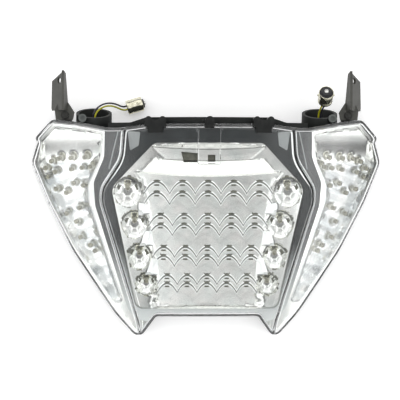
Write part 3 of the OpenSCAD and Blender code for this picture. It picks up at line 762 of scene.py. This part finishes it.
# The dull upper rim of a bowl is a painted dark reflection.
RIM_AT, RIM_FROM = 0.93, 0.2     # dull upper rim of a bowl: inner edge and lower end, over the radius
BOWL_DOWN = 0.25       # how far a bowl's middle lies below its lamp, over its radius
BOWL_DRAWN = 0.85      # distances below a bowl's middle count this much, so its lower half is longer
PETALS, PETAL_UP = 7, 0.7    # facets round a bowl
# The marks in a bowl are painted dark reflections of its lamp.
BOWL_MARK_AT, BOWL_MARK_TURN = 0.72, 1.15    # marks in a bowl: share of its radius, and turn between them
BOWL_MARK_HALF = (2.4, 1.3)    # half a mark's length and width

SIDE_SLOPE, SIDE_FOOT = 0.5, 26    # slope of the facets outside the treads, and their top in plan
SIDE_RUN, SIDE_FADE = 40, 5    # how far out they go on rising, and over what height they fade in
# Cove up to the foot of the window: top and run in plan, base over the board, rise and curve.
COVE_TOP, COVE_RUN, COVE_BASE, COVE_UP, COVE_CURVE = -86, 20, 2, 17, 2.2
# Facets with a painted highlight between the bowls and the treads, on the right half.
FACETS = [
    [(59, -2), (70, 2), (69, -12), (57, -10)], [(56, -28), (63, -26), (68, -43), (54, -42)],
    [(50, -56), (56, -55), (62, -72), (49, -72)]]

# Profile of the shelf above the first row: place in plan and height over the front plane.
SHELF = [
    (59.5, -6.0), (53.5, -13.2), (52.8, -12.4), (42.5, -9.8), (41.3, -12.4), (28.5, -15.2), (26.5, -17.8)]
SHELF_HALF, SHELF_FLARE = 52, 0.7    # half length of its top line, and how much longer each lower line is
SAG, SAG_WIDTH = 3.5, 67     # how far the shelf lines sag, and over what half width
# Recesses in the shelf, their floors in painted shade: corners in plan, and how deep.
SLOTS = [
    ([(-27.5, 51), (-11, 49.5), (-11, 40.5), (-25, 40.5)], 5),
    ([(-1, 48), (6.5, 48), (6.5, 41), (-1, 41)], 4)]


def face_point(x, v, w):
    """World point at x across, v up the sloping front and w above it."""
    return Vector((x, FACE_Y + v * math.cos(TILT) - w * math.sin(TILT),
                   FACE_Z + v * math.sin(TILT) + w * math.cos(TILT)))


def scallop(x, arch, pitch):
    """Plan height of a scalloped riser's edge at x: a row of arches that meet in points."""
    across = (np.asarray(x) / pitch + 0.5) % 1 - 0.5
    return arch - SCALLOP * pitch * (2 * across) ** 2


# Each riser: plan height of its arch tops, and its spacing.
RISERS = []
for v, pitch, _, _ in CENTRE_ROWS:
    top_of_arch = face_point(0, v, ARCH_W).y + LAMP_UP
    RISERS += [(top_of_arch, pitch), (top_of_arch - SECOND_RISER * pitch, pitch)]
# Each bowl: its middle in plan, and its radius.
BOWLS = [(s * end, face_point(0, v - END_LAMP_DOWN, BOWL_W).y - BOWL_DOWN * r, r)
         for v, _, end, r in CENTRE_ROWS for s in (-1, 1)]


def from_bowl(xy, bowl):
    """Distance from a bowl's middle over its radius; the lower half is drawn out longer."""
    x, y, r = bowl
    down = np.where(xy[:, 1] < y, BOWL_DRAWN, 1) * (xy[:, 1] - y)
    return np.hypot(xy[:, 0] - x, down) / r


def bowl_ring(bowl, share):
    """A loop round a bowl at a share of its radius."""
    x, y, r = bowl
    ring = []
    for turn in np.linspace(0, 2 * math.pi, 33)[:-1]:
        up = math.cos(turn) / (BOWL_DRAWN if math.cos(turn) < 0 else 1)
        ring.append((x + r * share * math.sin(turn), y + r * share * up))
    return ring


def centre_height(xy, rim):
    """Height over the front plane of the stepped centre reflector."""
    x, y = xy[:, 0], xy[:, 1]
    level = y - SAG * (x / SAG_WIDTH) ** 2
    w = np.interp(-level, [-a for a, _ in SHELF], [b for _, b in SHELF])
    w = np.where(level < SHELF[-1][0], SHELF[-1][1] + (SHELF[-1][0] - level) * TREAD_SLOPE, w)
    w += TREAD_CROWN * (x / TREAD_HALF) ** 2
    for arch, pitch in RISERS:
        run = scallop(x, arch, pitch) - y
        plain = (arch - 0.5 * SCALLOP * pitch - y) / PLAIN_RUN
        step = np.interp(np.where(np.abs(x) < HALF_ROW * pitch, run, plain), *zip(*RISER))
        w -= step
    tops = np.array([RISERS[2 * k][0] for k in range(4)])
    edge = HALF_ROW * np.interp(-y, -tops, [p for _, p, _, _ in CENTRE_ROWS])
    w += SIDE_SLOPE * np.clip(np.abs(x) - edge, 0, SIDE_RUN) * smooth((SIDE_FOOT - y) / SIDE_FADE)
    w = np.maximum(w, -BOARD_DEPTH + TRAY_LOW)
    for bowl in BOWLS:
        away = from_bowl(xy, bowl)
        about = np.arctan2(x - bowl[0], y - bowl[1])
        petals = PETAL_UP * away * np.abs(np.sin(about * PETALS / 2))
        dish = -BOARD_DEPTH + BOWL_BASE + BOWL_DEEP * away ** 2 + petals
        w = np.where((away < 1.001) & (dish < w), dish, w)
    cove = np.clip((COVE_TOP - y) / COVE_RUN, 0, 1)
    w = np.maximum(w, -BOARD_DEPTH + COVE_BASE + COVE_UP * cove ** COVE_CURVE)
    for corners, deep in SLOTS:
        w = np.where(depth_inside(xy, corners) > 0.1, w - deep, w)
    top = crown(x) - BEZEL_TOP - BEZEL_T
    w = np.minimum(w, top)
    return np.maximum(w, top - np.maximum(rim - TRAY_FLANGE, 0) * TRAY_WALL)


def on_risers(xy, first, last):
    """Which points lie on a scalloped riser, between two steps of its profile."""
    found = np.zeros(len(xy), bool)
    for arch, pitch in RISERS:
        run = scallop(xy[:, 0], arch, pitch) - xy[:, 1]
        found |= (np.abs(xy[:, 0]) < HALF_ROW * pitch) & (run > RISER[first][0]) & (run < RISER[last][0])
    return found


def dark_reflection_parts(xy):
    """Where the centre reflector gets a painted dark reflection: the faces of the risers and the bowl rims.
    """
    dimmed = on_risers(xy, 1, 2)
    for bowl in BOWLS:
        away = from_bowl(xy, bowl)
        dimmed |= (away > RIM_AT) & (away < 1) & (xy[:, 1] > bowl[1] + RIM_FROM * bowl[2])
    return dimmed


def highlight_parts(xy):
    """Where the centre reflector gets a painted highlight: risers' lips and feet, and a facet below each
    upper bowl.
    """
    highlighted = on_risers(xy, 0, 1) | on_risers(xy, 2, 4)
    for corners in FACETS:
        for s in (-1, 1):
            highlighted |= depth_inside(xy * (s, 1), corners) > 0
    return highlighted


def dark_mark_parts(xy):
    """Where the centre reflector gets painted dark marks: a painted dark reflection of each lamp in the
    arches and the bowls, and painted shade in the slots.
    """
    marked = np.zeros(len(xy), bool)
    for arch, pitch in RISERS:
        across = ((xy[:, 0] / pitch + 0.5) % 1 - 0.5) * pitch
        down = arch - xy[:, 1]
        on_arch = np.abs(xy[:, 0]) < HALF_ROW * pitch
        for half, top, foot in ARCH_MARKS:
            marked |= on_arch & (np.abs(across) < half) & (down > top) & (down < foot)
    for x, y, r in BOWLS:
        for turn in (-BOWL_MARK_TURN, 0, BOWL_MARK_TURN):
            spot = np.array([x, y]) + BOWL_MARK_AT * r * np.array([math.sin(turn), math.cos(turn)])
            along = (xy - spot) @ np.array([math.cos(turn), -math.sin(turn)])
            over = (xy - spot) @ np.array([math.sin(turn), math.cos(turn)])
            marked |= (np.abs(along) < BOWL_MARK_HALF[0]) & (np.abs(over) < BOWL_MARK_HALF[1])
    for corners, _ in SLOTS:
        marked |= depth_inside(xy, corners) > 0
    return marked


# The tray's mesh has an edge along every line where its slope or its material changes.
reflector_edge = rounded(inset(window_outline, -1.0), 2.5)
lines = []
for arch, pitch in RISERS:
    for run, _ in RISER:
        across = np.linspace(-HALF_ROW * pitch, HALF_ROW * pitch, 101)
        lines.append([(x, scallop(x, arch, pitch) - run) for x in across])
    for k in (-2, -1, 0, 1, 2):
        half, *ends = ARCH_MARKS[1]
        for down in ends:
            lines.append([(k * pitch + dx, arch - down) for dx in (-half, -half / 3, half / 3, half)])
for y, _ in SHELF[1:]:
    half = SHELF_HALF + (SHELF[0][0] - y) * SHELF_FLARE
    lines.append([(x, y + SAG * (x / SAG_WIDTH) ** 2) for x in np.linspace(-half, half, 45)])
slot_loops = []
for corners, _ in SLOTS:
    middle = np.mean(corners, 0)
    slot_loops += [[tuple(np.array(c) * (1 - k) + middle * k) for c in corners] for k in (0, 0.06)]
rings = [bowl_ring(bowl, share) for bowl in BOWLS for share in (0.6, RIM_AT, 1)]
rings += [[(s * x, y) for x, y in corners + corners[:1]] for corners in FACETS for s in (-1, 1)]
lines += [part for loop in rings for part in inner_part(loop, reflector_edge)]
centre_plan = plan_mesh(reflector_edge, lines=lines, spacing=1.9,
                        closed_lines=offsets(window_outline, [-0.2, 1.0, 2.2, 3.4]) + slot_loops)
centre_w = centre_height(centre_plan[0], depth_inside(centre_plan[0], reflector_edge))
piece("centre_reflector_tray",
      shell(centre_plan, world_z(centre_plan[0], centre_w), world_z(centre_plan[0], centre_w - TRAY_T)),
      CHROME, ["centre_reflector"], smooth_to=24,
      parts=[(PAINTED_DARK_REFLECTION, dark_reflection_parts), (PAINTED_HIGHLIGHT, highlight_parts), (PAINTED_DARK_MARKS, dark_mark_parts)])

# ---- wing reflectors --------------------------------------------------------------------------

# Lamps of the right wing: place across and down its board.
WING_LAMPS = [
    (32.5, -58.8), (25.7, -51), (16.7, -47.2), (3.4, -45.2), (-12.4, -42.7), (-21.9, -47.2),
    (30, -67.6), (21.7, -61.7), (3, -56.8), (-9.2, -53.9), (-17.8, -51.9),
    (20.5, -79.3), (8.6, -81.8), (0.6, -71), (-10.6, -71.9),
    (-6.4, -95.9), (8.6, -103.5), (-2.7, -110.4),
    (-7.2, -126.4), (-18.5, -133.3), (-23.8, -138.5)]
CUP_R, CUP_DEEP = 6.5, 3.6     # bowl round each lamp: its radius, and its depth there
CUP_REACH = 1.4                # how far a bowl may run on up a slope, over its radius
CUP_W = 2 - WING_DEPTH         # height over the front plane at which the bowls are set on their lamps
# Below FAN_FOOT in plan the wings are clouded. The fan rises above it, from FAN_GAP on.
FAN_FOOT, FAN_GAP, FAN_RUN, FAN_UP = 42, 2, 26, 6.0
WING_LOW, FLOOR_UP = 1, 1.6    # least height of a wing tray over its board, and its floor over that
WAVE_UP, WAVE_FADE = 1.2, 8    # waves on the floor: their height, and the run over which they fade in
WAVE_Y, WAVE_X = 3.6, 9        # how far they run for one radian, down and across
WING_FLANGE, WING_WALL = 0.6, 4      # flat rim of a wing tray, and the slope of its walls


def wing_point(s, v, w):
    """World point in the frame of the right wing's board: s across, v up and w above the crown there."""
    across = s * math.cos(WING_TURN) + (w + CROWN_R) * math.sin(WING_TURN)
    above = -s * math.sin(WING_TURN) + (w + CROWN_R) * math.cos(WING_TURN) - CROWN_R
    return face_point(across, v, above)


def wing_plane(xy, w):
    """World height of the plane w above the right wing's board frame, over points in plan."""
    a, b, c = (wing_point(s, v, w) for s, v in ((0, 0), (1, 0), (0, 1)))
    n = (b - a).cross(c - a)
    return a.z - (n.x * (xy[:, 0] - a.x) + n.y * (xy[:, 1] - a.y)) / n.z


def wing_height(xy, rim):
    """World height of the right wing's reflector."""
    x, y = xy[:, 0], xy[:, 1]
    floor = wing_plane(xy, -WING_DEPTH + WING_LOW)
    up = FAN_UP * smooth((y - FAN_FOOT - FAN_GAP) / FAN_RUN) + FLOOR_UP
    up += WAVE_UP * np.sin(y / WAVE_Y + x / WAVE_X) * smooth((FAN_FOOT + FAN_GAP - y) / WAVE_FADE)
    for s, v in WING_LAMPS:
        spot = wing_point(s, v, CUP_W)
        away = np.hypot(x - spot.x, y - spot.y) / CUP_R
        cup = CUP_DEEP * away ** 2
        up = np.where((away < CUP_REACH) & (cup < up), cup, up)
    top = world_z(xy, crown(x) - BEZEL_TOP)
    z = np.minimum(floor + up, top)
    return np.maximum(z, top - np.maximum(rim - WING_FLANGE, 0) * WING_WALL)


def clouded_part(xy):
    """Where a wing reflector is etched: all of it below the bright fan at its top."""
    return xy[:, 1] < FAN_FOOT


pocket_edge = rounded(WING_POCKET, 2.5)
wing_plan = plan_mesh(pocket_edge, closed_lines=offsets(WING_POCKET, [0.6, 1.8, 3.0]), spacing=1.9)
wing_z = wing_height(wing_plan[0], depth_inside(wing_plan[0], pocket_edge))
wing_shape = shell(wing_plan, wing_z, wing_z - TRAY_T)
mirror = Matrix.Diagonal((-1, 1, 1, 1))
for side, shape in (("right", wing_shape), ("left", placed(wing_shape, mirror))):
    piece(side + "_reflector_tray", shape, CHROME, [side + "_reflector"], smooth_to=28,
          parts=[(CLOUDED, clouded_part)])

# ---- LEDs -------------------------------------------------------------------------------------

LED_H = 6              # from the board up to where the dome starts
# Profiles about the LED's axis: radius, and height over the board.
LED_DOME = [(LED_R * math.cos(a), LED_H + LED_R * math.sin(a)) for a in np.linspace(0, math.pi / 2, 7)[1:-1]]
LED_PROFILE = [(FLANGE_R, 0), (FLANGE_R, 1), (LED_R, 1.05), (LED_R, LED_H), *LED_DOME, (0, LED_H + LED_R)]
CUP_PROFILE = [(0, 3.2), (1.3, 3.2), (1.4, 5.2), (1.05, 5.2), (0.6, 4.5), (0, 4.4)]
tilted = Matrix.Translation((0, FACE_Y, FACE_Z)) @ Matrix.Rotation(TILT, 4, "X")
wing_at = (tilted @ Matrix.Translation((0, 0, -CROWN_R)) @ Matrix.Rotation(WING_TURN, 4, "Y")
           @ Matrix.Translation((0, 0, CROWN_R)))
lamp_sets = {
    "centre": [tilted @ Matrix.Translation((x, v, -BOARD_DEPTH)) for x, v in centre_lamps],
    "right": [wing_at @ Matrix.Translation((s, v, -WING_DEPTH)) for s, v in WING_LAMPS]}
lamp_sets["left"] = [mirror @ m for m in lamp_sets["right"]]
for side, places in lamp_sets.items():
    piece(side + "_led_bodies", joined([placed(revolved(LED_PROFILE, 20), m) for m in places]), EPOXY,
          [side + "_leds"])
    piece(side + "_led_cups", joined([placed(revolved(CUP_PROFILE, 12), m) for m in places]), FRAME_METAL,
          [side + "_leds"])

# ---- CAD parts that keep their shape ----------------------------------------------------------

coated(["rear_housing", "left_port", "right_port"], HOUSING)
coated(["left_clip", "right_clip", "locating_hook"], CLIP, 0.3)
coated(["rear_feet", "left_grommet", "right_grommet"], RUBBER, 0.4)
coated(["lens_seal"], RUBBER, 0)
coated(["vent_bosses"], BOSS, 0.3)
coated(["left_bracket", "right_bracket"], BRACKET, 0.3)
coated(["bracket_screws", "bracket_washers"], OXIDE, 0.2)
coated(["board_screws"], ZINC, 0.12)
coated(["centre_board", "left_board", "right_board"], BOARD, 0)
coated(["resistors"], RESISTOR, 0.3)

# ---- floor and light --------------------------------------------------------------------------

# Opal acrylic light table, cast and lit faintly from below, which keeps the shadows pale.
floor_material = finish("acrylic, cast opal", "#f8f8f8", "#f5f5f5", 3, 0.005, patch_mm=200, Roughness=0.8,
                        **{"Emission Color": rgb("#ffffff"), "Emission Strength": 0.3})
floor_mesh = bpy.data.meshes.new("floor")
floor_mesh.from_pydata([(-4, -4, 0), (4, -4, 0), (4, 4, 0), (-4, 4, 0)], [], [(0, 1, 2, 3)])
floor_mesh.materials.append(floor_material)
floor = bpy.data.objects.new("floor", floor_mesh)
bpy.context.scene.collection.objects.link(floor)

# A white studio tent: bright cloth in soft folds, greyer straight overhead, dark low down all round.
world = bpy.data.worlds.new("studio tent")
bpy.context.scene.world = world
world.use_nodes = True
sky = world.node_tree
sky.nodes.clear()
direction = add(sky, "TexCoord").outputs["Generated"]
height = add(sky, "SeparateXYZ", {"Vector": direction}).outputs["Z"]
tent = add(sky, "ValToRGB", {"Fac": height})
greys = [(0.0, 0.04), (0.16, 0.08), (0.4, 1), (0.93, 1), (0.98, 0.75), (0.994, 0.55), (1.0, 0.46)]
bands(tent, [(place, (grey, grey, grey, 1)) for place, grey in greys])
folds = add(sky, "TexNoise", {"Vector": direction, "Scale": 2.4, "Detail": 1.5})
cloth = add(sky, "MapRange", {
    "Value": folds.outputs["Fac"], "From Min": 0.38, "From Max": 0.6, "To Min": 0.45, "To Max": 1.2})
lit = add(sky, "Mix", {"Factor": 1.0, 6: tent.outputs["Color"], 7: cloth.outputs["Result"]},
          data_type="RGBA", blend_type="MULTIPLY")
# The gap in the cloth that the camera looks through, wide across and leaning to the tips.
widened = add(sky, "Mapping", {"Vector": direction, "Scale": (0.55, 1, 1)}).outputs["Vector"]
gap = add(sky, "VectorMath", {0: widened, 1: (0, -0.5, 0.866)}, operation="DISTANCE")
shade = add(sky, "MapRange", {
    "Value": gap.outputs["Value"], "From Min": 0.14, "From Max": 0.36, "To Min": 0.14, "To Max": 1.0},
    interpolation_type="SMOOTHSTEP")
flagged = add(sky, "Mix", {"Factor": 1.0, 6: lit.outputs[2], 7: shade.outputs["Result"]},
              data_type="RGBA", blend_type="MULTIPLY")
glow = add(sky, "Background", {"Color": flagged.outputs[2], "Strength": 1.6})
add(sky, "OutputWorld", {"Surface": glow.outputs["Background"]})

bpy.context.scene.view_settings.view_transform = "Standard"
